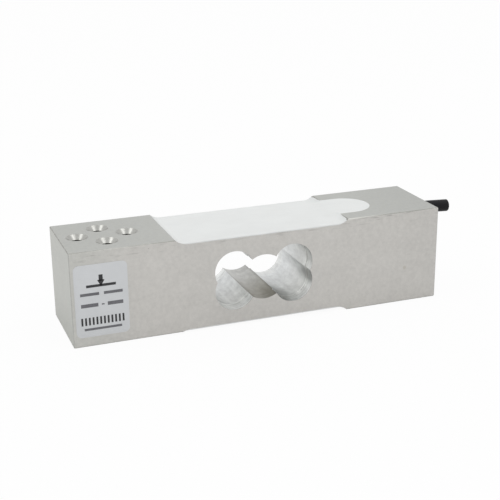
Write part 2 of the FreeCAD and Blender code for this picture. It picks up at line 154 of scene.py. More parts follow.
class Surface:
    """Places on a piece in millimetres, and the patterns that a finish draws there."""

    def __init__(self, add: Callable[..., Node]) -> None:
        """Place the coordinate nodes.

        Args:
            add: Adds a node to the material.
        """
        self.add = add
        source = self.add("TexCoord")
        self.mm = self.add("VectorMath", SIZED, {"Vector": source.outputs["Object"], "Scale": 1 / MM})
        self.x, self.y, self.z = self.add("SeparateXYZ", None, {"Vector": self.mm}).outputs
        unsigned = self.add("VectorMath", UNSIGNED, {"Vector": source.outputs["Normal"]})
        facing = self.add("SeparateXYZ", None, {"Vector": unsigned})
        self.facing_x, self.facing_y, self.facing_z = facing.outputs

    def grain(self, size: Point, detail: float = 2.0, roughness: float = 0.5) -> Node:
        """Cloudy pattern whose grains have a real size.

        Args:
            size: Length of a grain along X, Y and Z.
            detail: Octaves.
            roughness: Weight of the finer octaves.

        Returns:
            A value around 0.5.
        """
        place = self.add("Mapping", None, {"Vector": self.mm, "Scale": tuple(1 / s for s in size)})
        octaves = {"Vector": place, "Scale": 1.0, "Detail": detail, "Roughness": roughness}
        return self.add("TexNoise", None, octaves)

    def pits(self, spacing: float, size: float) -> Node:
        """Sparse round pits.

        Args:
            spacing: Mean distance between pits.
            size: Radius of a pit.

        Returns:
            1 in a pit and 0 outside it.
        """
        cells = self.add("TexVoronoi", None, {"Vector": self.mm, "Scale": 1 / spacing})
        reach = size / spacing
        near = {"Value": cells.outputs["Distance"], "From Min": reach, "From Max": 0.4 * reach}
        return self.add("MapRange", SMOOTH, near)

    def away(self, centre: Sequence[float], half: Sequence[float]) -> Node:
        """Place against a centre, as a share of a box's half lengths."""
        offset = self.add("VectorMath", MINUS, {0: self.mm, 1: centre})
        return self.add("VectorMath", {"operation": "DIVIDE"}, {0: offset, 1: half})

    def inside(self, low: Point, high: Point) -> Node:
        """Mask of a box.

        Args:
            low: Lowest corner.
            high: Highest corner.

        Returns:
            1 inside the box and 0 outside it.
        """
        centre, half = (Vector(high) + Vector(low)) / 2, (Vector(high) - Vector(low)) / 2
        unsigned = self.add("VectorMath", UNSIGNED, {0: self.away(centre, half)})
        whole = self.add("VectorMath", {"operation": "FLOOR"}, {0: unsigned})
        length = self.add("VectorMath", LENGTH, {0: whole})
        return self.add("Math", UNDER, {0: length.outputs["Value"], 1: 0.5})

    def spot(self, centre: Point, half: Point) -> Node:
        """Mask of a soft-edged spot.

        Args:
            centre: Its middle.
            half: Its half lengths.

        Returns:
            1 in the spot's middle and 0 outside it.
        """
        length = self.add("VectorMath", LENGTH, {0: self.away(centre, half)})
        near = {"Value": length.outputs["Value"], "From Min": 1.25, "From Max": 0.5}
        return self.add("MapRange", SMOOTH, near)


# ------------------------------------------------------------------ finishes
@dataclass(frozen=True)
class Finish:
    """A real surface: its material, how it was made, and how its colour, sheen and relief vary."""

    name: str
    colour: str
    roughness: float = 0.5
    metallic: float = 0.0
    # Shares of the colour where its pattern is low and high, the roughness's spread, and the relief's depth.
    shades: tuple[float, float] = (1.0, 1.0)
    spread: float = 0.0
    relief: float = 0.01
    extra: ClassVar[dict[str, Any]] = {}

    def build(self) -> Material:
        """Make the material.

        Returns:
            The finished material.
        """
        material = bpy.data.materials.new(self.name)
        material.diffuse_color = linear(self.colour)
        add = cleared(material)
        shader = add("BsdfPrincipled", None, self.looks(Surface(add)) | self.extra)
        add("OutputMaterial", None, {"Surface": shader})
        return material

    def looks(self, surface: Surface) -> dict[str, Any]:
        """Turn the finish's patterns into colour, roughness and relief.

        Args:
            surface: Places and patterns on the piece.

        Returns:
            The shader's inputs by name.
        """
        shade, sheen, height = self.patterns(surface)
        level = surface.add("MapRange", SMOOTH, {"Value": shade, "From Min": 0.3, "From Max": 0.7})
        dark, pale = (linear(self.colour, share) for share in self.shades)
        rough = self.roughness
        if self.spread:
            smoothest = self.roughness - self.spread / 2
            rough = surface.add("Math", TIMES_PLUS, {0: sheen, 1: self.spread, 2: smoothest})
        bump = {"Height": height, "Distance": self.relief * MM, "Strength": 1.0}
        return {
            "Base Color": surface.add("Mix", BLEND, {"Factor": level, "A": dark, "B": pale}),
            "Roughness": rough,
            "Metallic": self.metallic,
            "Normal": surface.add("Bump", None, bump),
        }

    def patterns(self, surface: Surface) -> tuple[Node, Node, Node]:
        """Patterns around 0.5 for the colour, the roughness and the relief."""
        raise NotImplementedError


class Zone(NamedTuple):
    """Where some masks meet, the colour there, and the roughness where it has its own."""

    masks: tuple[Value, ...]
    paint: Node | Colour
    roughness: float | None = None


@dataclass(frozen=True)
class MilledAluminium(Finish):
    """Aluminium bar stock: milled faces, ground flanks, a bored cut-out and burnished edge breaks."""

    metallic: float = 1.0
    spread: float = 0.12
    relief: float = 0.012
    # The flanks' colour is painted a shade lighter, and the bar's own colour on the top faces a shade
    # darker: painted light and shade.
    flank_colour_painted_lighter: str = "#CAC8C4"
    end_colour: str = "#C1C2BD"
    edge_bright: str = "#AEAEA9"
    edge_dull: str = "#8E8E89"
    # Lobe and waist colours by the near mouth are painted shade and reflection, fading to the far colours at
    # the back.
    lobe_near_painted_shade: str = "#CACBC8"
    lobe_far: str = "#D2D4D4"
    waist_near_painted_shade: str = "#98958B"
    waist_far: str = "#BBBBB8"
    # Painted shade along the cusps where the waist meets the lobes.
    cusp_painted_shade: str = "#85847D"
    # Painted highlight on the mouth's step, rim and ring line.
    painted_highlight_colour: str = "#E9EAE8"
    cone_colour: str = "#ACACA8"
    # Painted shade inside the bores.
    bore_painted_shade: str = "#4C4A46"
    scratch_colour: str = "#7C7B77"
    # Painted shade in two patches by the near mouth.
    painted_shade_colour: str = "#6C6A62"
    stain_colour: str = "#7E6E43"
    # Spots as a centre and half lengths: two of painted shade in the cut-out, and a stain on the flank.
    painted_shade_low: Box = ((-50.0, -10.5, 8.0), (4.5, 9.0, 3.5))
    painted_shade_high: Box = ((-38.6, -15.0, 15.9), (3.0, 9.0, 2.6))
    stain: Box = ((2.1, -17.5, 14.4), (0.8, 0.5, 0.9))
    # Boxes as a lowest and a highest corner, at the load end and at the fixed end.
    cut_out: Box = ((-79.2, -17.3, 6.6), (-37.8, 17.3, 31.4))
    cones: tuple[Box, Box] = (
        ((-131.0, -12.5, 36.1), (-103.0, 12.5, 37.97)),
        ((-14.0, -12.5, 0.03), (14.0, 12.5, 1.9)),
    )
    bores: tuple[Box, Box] = (
        ((-131.0, -12.5, 19.0), (-103.0, 12.5, 36.1)),
        ((-14.0, -12.5, 1.9), (14.0, 12.5, 27.0)),
    )
    flank_y: float = 17.3
    waist_axis: Point = (-58.5, 0.0, 19.0)
    waist_radius: float = 9.06
    mouth_depth: float = 5.0
    pit_spacing: float = 11.0
    pit_radius: float = 0.3

    def looks(self, surface: Surface) -> dict[str, Any]:
        """Even satin faces, smoother and mottled where a cutter bored, with painted light, shade and
        highlights.

        Args:
            surface: Places and patterns on the piece.

        Returns:
            The shader's inputs by name.
        """
        # Ground flanks are an even warm grey with a fine speckle, a few scuffs near the upper edge and a
        # small stain, and a shade darker towards the fixed end. Their colour is painted a shade lighter, and
        # the milled top faces, cooler and plainer, a shade darker: painted light and painted shade. The
        # reamed waist is a darker grey, with painted shade and reflection towards the near mouth and along
        # the cusps.
        # The lobes are pale, with smears and run-out rings, and darker within the mouths. They get painted
        # shade towards the near mouth, in two patches there, in their upper parts by the face and on walls
        # that face up or down, painted light on walls that face along the bar, and painted highlights on the
        # mouth's step, rim and ring line. The speckle and the rings are finer in reality and drawn coarse
        # enough to show.
        add = surface.add
        speckle = surface.grain((1.3, 1.3, 1.3), 3.0, 0.6)
        lay = surface.grain((18.0, 0.5, 0.5))
        cloud = surface.grain((22.0, 14.0, 9.0))
        smears = surface.grain((2.4, 4.0, 2.4), 4.0, 0.65)
        streaks = surface.grain((0.9, 24.0, 0.9))
        rings = surface.grain((30.0, 0.9, 30.0), 2.0, 0.7)
        scuffs = surface.grain((7.0, 0.8, 0.8), 3.0)
        pits = surface.pits(self.pit_spacing, self.pit_radius)

        cut_out = surface.inside(*self.cut_out)
        cones, bores = (
            add("Math", LARGER, {0: surface.inside(*load), 1: surface.inside(*fixed)})
            for load, fixed in (self.cones, self.bores)
        )
        # Two patches of painted shade by the near mouth.
        film = add("Math", LARGER, {0: surface.spot(*self.painted_shade_low), 1: surface.spot(*self.painted_shade_high)})
        across = add("Mapping", None, {"Vector": surface.mm, "Scale": (1.0, 0.0, 1.0)})
        off_axis = add("VectorMath", {"operation": "DISTANCE"}, {0: across, 1: self.waist_axis})
        waist = add("Math", UNDER, {0: off_axis.outputs["Value"], 1: self.waist_radius})
        beside_axis = add("Math", UNSIGNED, {0: add("Math", MINUS, {0: surface.x, 1: self.waist_axis[0]})})
        depth_in = add("Math", UNSIGNED, {0: surface.y})
        squarest = add("Math", LARGER, {0: surface.facing_x, 1: surface.facing_y})
        squarest = add("Math", LARGER, {0: squarest, 1: surface.facing_z})

        # Smooth steps: the value, where its step starts and ends, and the two levels if they aren't 0 and 1.
        step_in = self.flank_y - self.mouth_depth
        steps = {
            "flank": (surface.facing_y, 0.9, 0.97),
            "end": (surface.facing_x, 0.9, 0.97),
            "broken": (squarest, 0.97, 0.9),
            "level": (surface.facing_z, 0.2, 0.4),
            "knocked": (lay, 0.4, 0.6),
            "beyond_label": (surface.x, -133.5, -106.0, 0.4, 1.0),
            "towards_end": (surface.x, -20.0, 17.0),
            "handled": (surface.z, 32.5, 36.5, 0.0, 0.35),
            "scuffed": (scuffs, 0.56, 0.7),
            # Painted shade and reflection by the near mouth fade out towards the back.
            "far": (surface.y, -14.0, 12.0),
            # Painted shade along the cusps.
            "near_cusp": (beside_axis, 4.3, 5.1, 0.0, 0.55),
            # Painted highlights at the mouth's rim and ring line.
            "rim": (depth_in, self.flank_y - 0.6, self.flank_y - 0.35),
            "ring": (depth_in, step_in, step_in + 0.3, 0.0, 0.4),
            "at_mouth": (depth_in, self.flank_y - 1.6 * self.mouth_depth, self.flank_y - 4.0),
            "at_face": (depth_in, self.flank_y - 2.2, self.flank_y - 0.7),
            # Painted shade in the upper lobes by the face.
            "upper": (surface.z, 17.0, 23.0),
            # The painted highlights fade out in the upper lobes.
            "highlight_fades_up": (surface.z, 17.0, 23.0, 1.0, 0.25),
            # Painted light on walls facing along the bar, and painted shade on walls facing up or down.
            "beside": (surface.facing_x, 0.75, 1.0),
            "beneath": (surface.facing_z, 0.8, 1.0),
        }
        sockets = ("Value", "From Min", "From Max", "To Min", "To Max")
        step = {
            name: add("MapRange", SMOOTH, dict(zip(sockets, values)))
            for name, values in steps.items()
        }

        warmth = add("Math", TIMES, {0: step["flank"], 1: step["beyond_label"]})
        ground, lobe, reamed, edge = (
            add("Mix", BLEND, {"Factor": factor, "A": linear(start), "B": linear(end)})
            for factor, start, end in (
                (warmth, self.end_colour, self.flank_colour_painted_lighter),
                (step["far"], self.lobe_near_painted_shade, self.lobe_far),
                (step["far"], self.waist_near_painted_shade, self.waist_far),
                (step["knocked"], self.edge_dull, self.edge_bright),
            )
        )
        # Painted highlights: a line at the step's depth, walls facing the front, the ring line and the rim
        # by the face.
        painted_highlight_line = add("Math", {"operation": "COMPARE"}, {0: surface.y, 1: -step_in, 2: 0.3})
        bright = add("Math", TIMES, {0: painted_highlight_line, 1: 0.6})
        for part in ("ring", "flank", "rim"):
            bright = add("Math", LARGER, {0: step[part], 1: bright})

        colour = linear(self.colour)
        rough = add("Math", TIMES_PLUS, {0: speckle, 1: self.spread, 2: self.roughness - self.spread / 2})
        for masks, paint, own_roughness in (
            # The flanks, whose colour is painted a shade lighter than the top faces.
            Zone((step["flank"],), ground),
            Zone((step["end"],), linear(self.end_colour)),
            Zone((step["broken"], step["level"]), edge, 0.38),
            Zone((cones,), linear(self.cone_colour), 0.28),
            # The lobes, with painted shade towards the near mouth.
            Zone((cut_out,), lobe, 0.34),
            # Painted highlights in the cut-out, fainter in the upper lobes.
            Zone((bright, cut_out, step["highlight_fades_up"]), linear(self.painted_highlight_colour)),
            # Painted shade in two patches.
            Zone((film, cut_out, 0.42), linear(self.painted_shade_colour)),
            # The reamed waist, with painted shade and reflection towards the near mouth.
            Zone((waist, cut_out), reamed),
            # Painted shade along the cusps.
            Zone((waist, cut_out, step["near_cusp"]), linear(self.cusp_painted_shade)),
            # Painted shade inside the bores.
            Zone((bores,), linear(self.bore_painted_shade), 0.4),
            Zone((surface.spot(*self.stain), 0.2), linear(self.stain_colour)),
        ):
            mask = masks[0]
            for other in masks[1:]:
                mask = add("Math", TIMES, {0: mask, 1: other})
            colour = add("Mix", BLEND, {"Factor": mask, "A": colour, "B": paint})
            if own_roughness is not None:
                rough = add("Mix", NUMBERS, {"Factor": mask, "A": rough, "B": own_roughness})

        # Brightness outside and inside the cut-out: a base, and the patterns that add to it.
        ringed = add("Math", TIMES, {0: rings, 1: step["at_mouth"]})
        # Painted shade in the upper lobes by the face.
        overhead = add("Math", TIMES, {0: step["upper"], 1: step["at_face"]})
        outside = ((speckle, 0.28), (lay, 0.03), (cloud, 0.08), (step["towards_end"], -0.06))
        inside = (
            # Painted shade in the upper lobes by the face.
            (overhead, -0.3),
            (smears, 0.7),
            (streaks, 0.15),
            (ringed, 0.7),
            (step["at_mouth"], -0.35),
            # Painted light on walls facing along the bar, and painted shade on walls facing up or down.
            (step["beside"], 0.14),
            (step["beneath"], -0.06),
        )
        tones = []
        for base, parts in ((0.805, outside), (0.555, inside)):
            total = base
            for pattern, weight in parts:
                total = add("Math", TIMES_PLUS, {0: pattern, 1: weight, 2: total})
            tones.append(total)
        tone = add("Mix", NUMBERS, {"Factor": cut_out, "A": tones[0], "B": tones[1]})
        colour = add("VectorMath", SIZED, {"Vector": colour, "Scale": tone})
        handled = add("Math", TIMES, {0: step["flank"], 1: step["handled"]})
        scratched = add("Math", TIMES, {0: pits, 1: 0.4})
        scratched = add("Math", TIMES_PLUS, {0: step["scuffed"], 1: handled, 2: scratched})
        height = add("Mix", NUMBERS, {"Factor": cut_out, "A": speckle, "B": streaks})
        height = add("Math", MINUS, {0: height, 1: pits})
        marked = {"Factor": scratched, "A": colour, "B": linear(self.scratch_colour)}
        bump = {"Height": height, "Distance": self.relief * MM, "Strength": 1.0}
        return {
            "Base Color": add("Mix", BLEND, marked),
            "Roughness": rough,
            "Metallic": self.metallic,
            "Normal": add("Bump", None, bump),
        }


@dataclass(frozen=True)
class CutThread(Finish):
    """Thread cut by a tap in the bar's aluminium."""

    # A dull dark grey, because the flanks are torn, oily and turned from the light.
    metallic: float = 1.0
    shades: tuple[float, float] = (0.7, 1.2)
    spread: float = 0.2
    relief: float = 0.02

    def patterns(self, surface: Surface) -> tuple[Node, Node, Node]:
        """Torn flanks in the colour, the sheen and the relief."""
        return (surface.grain((0.6, 0.6, 0.15), 3.0),) * 3


@dataclass(frozen=True)
class PouredSilicone(Finish):
    """White room-temperature silicone rubber, poured and left to level."""

    # Near-white and slightly waxy, with a broad dull sheen, a slow swell and a little dust.
    shades: tuple[float, float] = (0.97, 1.0)
    spread: float = 0.15
    relief: float = 0.12
    extra: ClassVar[dict[str, Any]] = {
        "IOR": 1.41,
        "Specular IOR Level": 0.4,
        "Subsurface Weight": 0.12,
        "Subsurface Radius": (1.0, 0.95, 0.9),
        "Subsurface Scale": 0.8 * MM,
    }

    def patterns(self, surface: Surface) -> tuple[Node, Node, Node]:
        """Slow clouds in the colour, dust in the sheen, and a slow swell under the dust."""
        dust, swell = surface.grain((0.5, 0.5, 0.5)), surface.grain((7.0, 5.0, 7.0))
        height = surface.add("Math", TIMES_PLUS, {0: dust, 1: 0.03, 2: swell})
        return surface.grain((11.0, 6.0, 11.0), 3.0), dust, height


@dataclass(frozen=True)
class ExtrudedPVC(Finish):
    """Plasticised PVC, extruded over a cable or a core."""

    # A soft sheen, faint die lines along the length and a slightly dusty skin.
    shades: tuple[float, float] = (0.92, 1.15)
    spread: float = 0.2
    relief: float = 0.015
    extra: ClassVar[dict[str, Any]] = {"IOR": 1.53, "Specular IOR Level": 0.18}

    def patterns(self, surface: Surface) -> tuple[Node, Node, Node]:
        """Dust in the colour and the sheen, and die lines along the cable under it."""
        dust, lines = surface.grain((0.8, 0.6, 0.6), 3.0, 0.6), surface.grain((9.0, 0.25, 0.25))
        height = surface.add("Math", TIMES_PLUS, {0: dust, 1: 0.4, 2: lines})
        return dust, dust, height


@dataclass(frozen=True)
class MouldedRubber(Finish):
    """Black moulded rubber of the cable's seal."""

    # Dull and dark, with the fine grain of the tool.
    shades: tuple[float, float] = (1.0, 1.5)
    relief: float = 0.02

    def patterns(self, surface: Surface) -> tuple[Node, Node, Node]:
        """The tool's grain."""
        return (surface.grain((0.2, 0.2, 0.2), 3.0),) * 3


@dataclass(frozen=True)
class CrossedThreads(Finish):
    """Threads that cross: tinned wires in a braid, or glass cloth that prints through solder mask."""

    # A braid shows as small bright lozenges with dark gaps, glass cloth as a fine square weave in the green.
    shades: tuple[float, float] = (0.65, 1.0)
    spacing: float = 0.5
    first: Point = (1.0, 0.0, 0.0)
    second: Point = (0.0, 1.0, 0.0)

    def patterns(self, surface: Surface) -> tuple[Node, Node, Node]:
        """Lozenges with lower, darker gaps.

        Args:
            surface: Places and patterns on the piece.

        Returns:
            The same weave for the colour, the roughness and the relief.
        """
        waves = []
        for direction in (self.first, self.second):
            along = surface.add("VectorMath", {"operation": "DOT_PRODUCT"}, {0: surface.mm, 1: direction})
            turns = surface.add("Math", TIMES, {0: along.outputs["Value"], 1: math.tau / self.spacing})
            waves.append(surface.add("Math", {"operation": "SINE"}, {0: turns}))
        product = surface.add("Math", TIMES, {0: waves[0], 1: waves[1]})
        return (surface.add("Math", TIMES_PLUS, {0: product, 1: 0.5, 2: 0.5}),) * 3


@dataclass(frozen=True)
class DrawnWire(Finish):
    """Drawn or rolled metal: bare or enamelled wire, and foil."""

    # Bright, with fine draw lines and a faint tarnish in patches.
    metallic: float = 1.0
    shades: tuple[float, float] = (0.78, 1.0)
    spread: float = 0.2
    relief: float = 0.006

    def patterns(self, surface: Surface) -> tuple[Node, Node, Node]:
        """Tarnish in the colour and the sheen, and draw lines in the relief."""
        tarnish = surface.grain((1.4, 1.0, 1.0), 3.0)
        return tarnish, tarnish, surface.grain((2.0, 0.08, 0.08))


@dataclass(frozen=True)
class SmoothFilm(Finish):
    """Thin plastic film, glaze or ribbon print."""

    # Even and smooth, with a faint mottle that keeps it from reading as flat paint.
    shades: tuple[float, float] = (0.92, 1.08)
    spread: float = 0.14
    relief: float = 0.008

    def patterns(self, surface: Surface) -> tuple[Node, Node, Node]:
        """Spots and clouds in the colour, clouds in the sheen and spots in the relief."""
        spots, cloud = surface.grain((0.4, 0.4, 0.4), 3.0, 0.6), surface.grain((6.0, 6.0, 6.0))
        return surface.add("Mix", NUMBERS, {"Factor": 0.5, "A": spots, "B": cloud}), cloud, spots


class Finishes(Enum):
    """Every finish on the cell, by the record's slot where it has one."""

    BAR = MilledAluminium("aluminium_milled_and_ground", "#B5B6B2", 0.42)
    THREAD = CutThread("aluminium_cut_thread", "#47453F", 0.42)
    SEALANT = PouredSilicone("silicone_poured_white", "#E2E4E3", 0.46)
    BOARD = CrossedThreads("glass_epoxy_green_mask", "#1F5229", 0.35)
    COPPER = DrawnWire("copper_bare_drawn", "#D8946A", 0.32)
    CHIP = SmoothFilm("chip_black_glaze", "#101012", 0.3)
    LEAD_ENAMEL = DrawnWire("wire_red_enamel", "#8E2A16", 0.35, metallic=0.0)
    JACKET = ExtrudedPVC("pvc_black_extruded_jacket", "#0B0B0F", 0.46)
    SHIELD = CrossedThreads(
        "copper_tinned_braid",
        "#C4C6C8",
        0.35,
        metallic=1.0,
        shades=(0.45, 1.0),
        relief=0.05,
        spacing=0.45,
        first=(0.9, 1.0, 1.0),
        second=(-0.9, 1.0, 1.0),
    )
    CORE_RED = ExtrudedPVC("pvc_red_extruded_core", "#B81813", 0.35)
    CORE_BLACK = ExtrudedPVC("pvc_black_extruded_core", "#0F0F10", 0.35)
    CORE_GREEN = ExtrudedPVC("pvc_green_extruded_core", "#127033", 0.35)
    CORE_WHITE = ExtrudedPVC("pvc_white_extruded_core", "#E4E4E0", 0.35)
    SEAL = MouldedRubber("rubber_black_moulded_seal", "#161617", 0.7)
    LABEL = SmoothFilm("polyester_satin_label_film", "#CCCED0", 0.5, shades=(0.97, 1.03))
    CARRIER = SmoothFilm("polyimide_amber_film", "#BF7A2A", 0.3)
    FOIL = DrawnWire("constantan_etched_foil", "#B9B1A2", 0.3)
    INK = SmoothFilm("resin_ribbon_print_black", "#2A2A2C", 0.55, shades=(0.88, 1.12))
    INK_THIN = SmoothFilm("resin_ribbon_print_worn", "#66666A", 0.55, shades=(0.8, 1.2))


class Paints:
    """Materials made once and handed out by finish."""

    def __init__(self) -> None:
        """Start with no materials made."""
        self.made: dict[Finishes, Material] = {}

    def cover(self, piece: Object, finish: Finishes) -> None:
        """Put a finish on all of a piece's slots, and log the piece.

        Args:
            piece: Mesh object.
            finish: The finish, whose material is made when it is first asked for.
        """
        if finish not in self.made:
            self.made[finish] = finish.value.build()
        if not piece.material_slots:
            piece.data.materials.append(self.made[finish])
        for place in piece.material_slots:
            place.material = self.made[finish]
        LOG.info("%s: %d faces, %s", piece.name, len(piece.data.polygons), finish.value.name)


# ------------------------------------------------------------------ mesh tools
def put(
    mesh: BMesh,
    shift: Sequence[float],
    turn: Matrix = Matrix.Identity(3),
    size: Sequence[float] = (1.0, 1.0, 1.0),
    verts: Sequence[BMVert] | None = None,
) -> None:
    """Size vertices, turn them about the origin, and shift them.

    Args:
        mesh: The bmesh.
        shift: The way to shift them.
        turn: The turn.
        size: Factors along X, Y and Z.
        verts: The vertices, or None for all of them.
    """
    chosen = mesh.verts if verts is None else verts
    bmesh.ops.scale(mesh, vec=size, verts=chosen)
    bmesh.ops.rotate(mesh, cent=(0, 0, 0), matrix=turn, verts=chosen)
    bmesh.ops.translate(mesh, vec=shift, verts=chosen)


def soften(mesh: BMesh, edges: Sequence[BMEdge], radius: float, segments: int = 2) -> None:
    """Round some edges.

    Args:
        mesh: The bmesh.
        edges: The edges.
        radius: How far the round reaches.
        segments: Number of faces across it.
    """
    bmesh.ops.bevel(
        mesh,
        geom=edges,
        offset=radius,
        segments=segments,
        profile=0.5,
        affect="EDGES",
        material=-1,
        clamp_overlap=True,
    )


def finished(name: str, mesh: BMesh, sharp_degrees: float = 35.0, closed: bool = True) -> Object:
    """Turn a bmesh in millimetres into a shaded object at the origin, in metres.

    Args:
        name: Name of the piece.
        mesh: The bmesh, which is freed.
        sharp_degrees: Edges sharper than this stay sharp.
        closed: Whether the mesh has an outside that its faces should point to.

    Returns:
        The new object.
    """
    if closed:
        bmesh.ops.recalc_face_normals(mesh, faces=mesh.faces)
    bmesh.ops.scale(mesh, vec=(MM, MM, MM), verts=mesh.verts)
    for face in mesh.faces:
        face.smooth = True
    data = bpy.data.meshes.new(name)
    mesh.to_mesh(data)
    mesh.free()
    data.set_sharp_from_angle(angle=math.radians(sharp_degrees))
    piece = bpy.data.objects.new(name, data)
    bpy.context.scene.collection.objects.link(piece)
    return piece


def part_way(value: float, start: float, end: float) -> float:
    """How far a value has come from a start to an end, from 0 to 1."""
    return min(max((value - start) / (end - start), 0.0), 1.0)


def smooth(value: float, start: float, end: float) -> float:
    """Smooth step from 0 at a start to 1 at an end."""
    share = part_way(value, start, end)
    return share * share * (3 - 2 * share)


def wavy(seed: float, x: float, y: float, length: float) -> float:
    """Smooth noise between about -1 and 1, whose waves have a length and whose pattern goes by a seed."""
    return noise.noise(Vector((x / length + seed, y / length - seed, seed)))


def box_of(node: str) -> tuple[Vector, Vector]:
    """Lowest and highest corner of a CAD node, in millimetres."""
    low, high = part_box(node)
    return low / MM, high / MM


@dataclass
class BarPlaces:
    """Places on the bar, taken from the CAD model's box."""

    end_block: float = 39.8
    recess_cutter: float = 7.0
    recess_depth: float = 2.0
    load_relief: float = 1.2
    hole_inset: float = 16.5
    hole_span_x: float = 19.0
    hole_span_y: float = 16.0
    low: Vector = field(init=False)
    high: Vector = field(init=False)

    def __post_init__(self) -> None:
        """Read the bar's box."""
        self.low, self.high = box_of(BAR_NODE)

    @property
    def middle(self) -> float:
        """X of the bar's middle."""
        return (self.low.x + self.high.x) / 2

    @property
    def recess_half(self) -> float:
        """Half length of a recess at the bar's face."""
        return self.high.x - self.end_block - self.middle

    @property
    def recess_end(self) -> float:
        """X of a recess's end on the fixed side."""
        return self.middle + self.recess_half

    @property
    def flat_half(self) -> float:
        """Half length of a recess's flat floor."""
        return self.recess_half - self.cutter_run(self.recess_depth)

    def cutter_run(self, depth: float) -> float:
        """Length of the curve that the cutter leaves at the end of a recess of some depth."""
        return math.sqrt(self.recess_cutter**2 - (self.recess_cutter - depth) ** 2)

    def floor(self, x: float) -> float:
        """Height of a recess's surface against the bar's face, rising by the cutter's curve at its ends."""
        run = min(max(abs(x - self.middle) - self.flat_half, 0.0), self.recess_half - self.flat_half)
        return self.recess_cutter - math.sqrt(self.recess_cutter**2 - run**2) - self.recess_depth

    def diamond(self, x_centre: float) -> list[tuple[float, float]]:
        """X and Y of the four holes about a middle."""
        half_x, half_y = self.hole_span_x / 2, self.hole_span_y / 2
        return [(x_centre - half_x, 0.0), (x_centre + half_x, 0.0), (x_centre, -half_y), (x_centre, half_y)]


@dataclass
class Assembly:
    """One sub-assembly, which covers CAD nodes and adds pieces of its own."""

    nodes: dict[str, Object]
    places: BarPlaces
    paints: Paints

    def dress(self, finishes: dict[str, Finishes]) -> None:
        """Cover the CAD nodes that are shown as they are, by name."""
        for name, finish in finishes.items():
            self.paints.cover(self.nodes[name], finish)

    def place(
        self,
        name: str,
        mesh: BMesh,
        finish: Finishes,
        slot: str,
        replaced: str | None = None,
        sharp_degrees: float = 35.0,
    ) -> None:
        """Add a piece that rides on the cell's body.

        Args:
            name: Name of the piece.
            mesh: Its bmesh in millimetres.
            finish: Its finish.
            slot: Its slot in the record. Not used.
            replaced: CAD node that it stands in for.
            sharp_degrees: Edges sharper than this stay sharp.
        """
        piece = finished(name, mesh, sharp_degrees)
        self.paints.cover(piece, finish)
        if replaced:
            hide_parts(replaced)
        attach(piece, BODY)


# ------------------------------------------------------------------ the spring element
@dataclass
class SpringElement(Assembly):
    """The milled bar, with the M6 threads and their lead-in cones that its CAD bores leave out."""

    thread_major: float = 3.02
    thread_minor: float = 2.46
    pitch: float = 1.0
    # Half widths of the thread's ridge at its root and crest, as shares of the pitch.
    root_share: float = 0.4375
    crest_share: float = 0.125
    thread_depth: float = 17.0
    countersink: float = 1.2
    run_out: float = 0.12
    mouth_radius: float = 4.2
    steps_per_turn: int = 24
    lead_in_steps: int = 48

    def build(self) -> None:
        """Dress the CAD bar, and put a thread and a lead-in cone in each hole."""
        self.dress({BAR_NODE: Finishes.BAR})
        inset = self.places.hole_inset
        for end, x_centre, face, turn in (
            ("load_end", self.places.low.x + inset, self.places.high.z, Matrix.Identity(3)),
            ("fixed_end", self.places.high.x - inset, self.places.low.z, Matrix.Rotation(math.pi, 3, "X")),
        ):
            for form, make, finish in (
                ("threads", self.ridge, Finishes.THREAD),
                ("lead_ins", self.lead_in, Finishes.BAR),
            ):
                mesh = bmesh.new()
                for x, y in self.places.diamond(x_centre):
                    self.add_form(mesh, make, turn, (x, y, face))
                self.place(f"{end}_{form}", mesh, finish, "bar")

    def add_form(self, mesh: BMesh, make: Callable[[], BMesh], turn: Matrix, shift: Point) -> None:
        """Add one hole's form to a piece.

        Args:
            mesh: The piece's bmesh.
            make: Makes the form, with its hole's opening at the origin.
            turn: The way the hole opens.
            shift: Where it opens.
        """
        form = make()
        put(form, shift, turn)
        spare = bpy.data.meshes.new("form")
        form.to_mesh(spare)
        form.free()
        mesh.from_mesh(spare)
        bpy.data.meshes.remove(spare)

    def swept(self, profile: Sequence[tuple[float, float]], angle: float, steps: int, rise: float) -> BMesh:
        """Sweep a closed profile about a hole's axis.

        Args:
            profile: Radius and height of each corner.
            angle: Angle of the whole sweep.
            steps: Number of steps.
            rise: Climb of a step. A sweep that doesn't climb closes on itself.

        Returns:
            A new bmesh.
        """
        mesh = bmesh.new()
        verts = [mesh.verts.new((radius, 0.0, height)) for radius, height in profile]
        edges = [mesh.edges.new(pair) for pair in zip(verts, verts[1:] + verts[:1])]
        bmesh.ops.spin(
            mesh,
            geom=verts + edges,
            cent=(0, 0, 0),
            axis=(0, 0, 1),
            dvec=(0, 0, rise),
            angle=angle,
            steps=steps,
            use_merge=rise == 0.0,
            use_duplicate=False,
        )
        return mesh

    def ridge(self) -> BMesh:
        """One hole's thread, with its opening at z = 0."""
        root, crest = self.pitch * self.root_share, self.pitch * self.crest_share
        major, minor = self.thread_major, self.thread_minor
        profile = [(major, -root), (minor, -crest), (minor, crest), (major, root)]
        turns = (self.thread_depth - self.countersink + root) / self.pitch
        steps = round(turns * self.steps_per_turn)
        mesh = self.swept(
            [(radius, height - self.thread_depth) for radius, height in profile],
            math.tau * steps / self.steps_per_turn,
            steps,
            self.pitch / self.steps_per_turn,
        )
        bmesh.ops.holes_fill(mesh, edges=[e for e in mesh.edges if e.is_boundary], sides=len(profile))
        for vert in mesh.verts:
            cone = major + vert.co.z + self.countersink + self.run_out
            radius = vert.co.xy.length
            if radius < cone:
                vert.co.xy *= cone / radius
        return mesh

    def lead_in(self) -> BMesh:
        """One hole's cone, carried on to the thread's minor diameter, with its opening at z = 0."""
        major, minor, mouth = self.thread_major, self.thread_minor, self.mouth_radius
        profile = ((major, major - mouth), (minor, minor - mouth), (major, minor - mouth))
        return self.swept(profile, math.tau, self.lead_in_steps, 0.0)


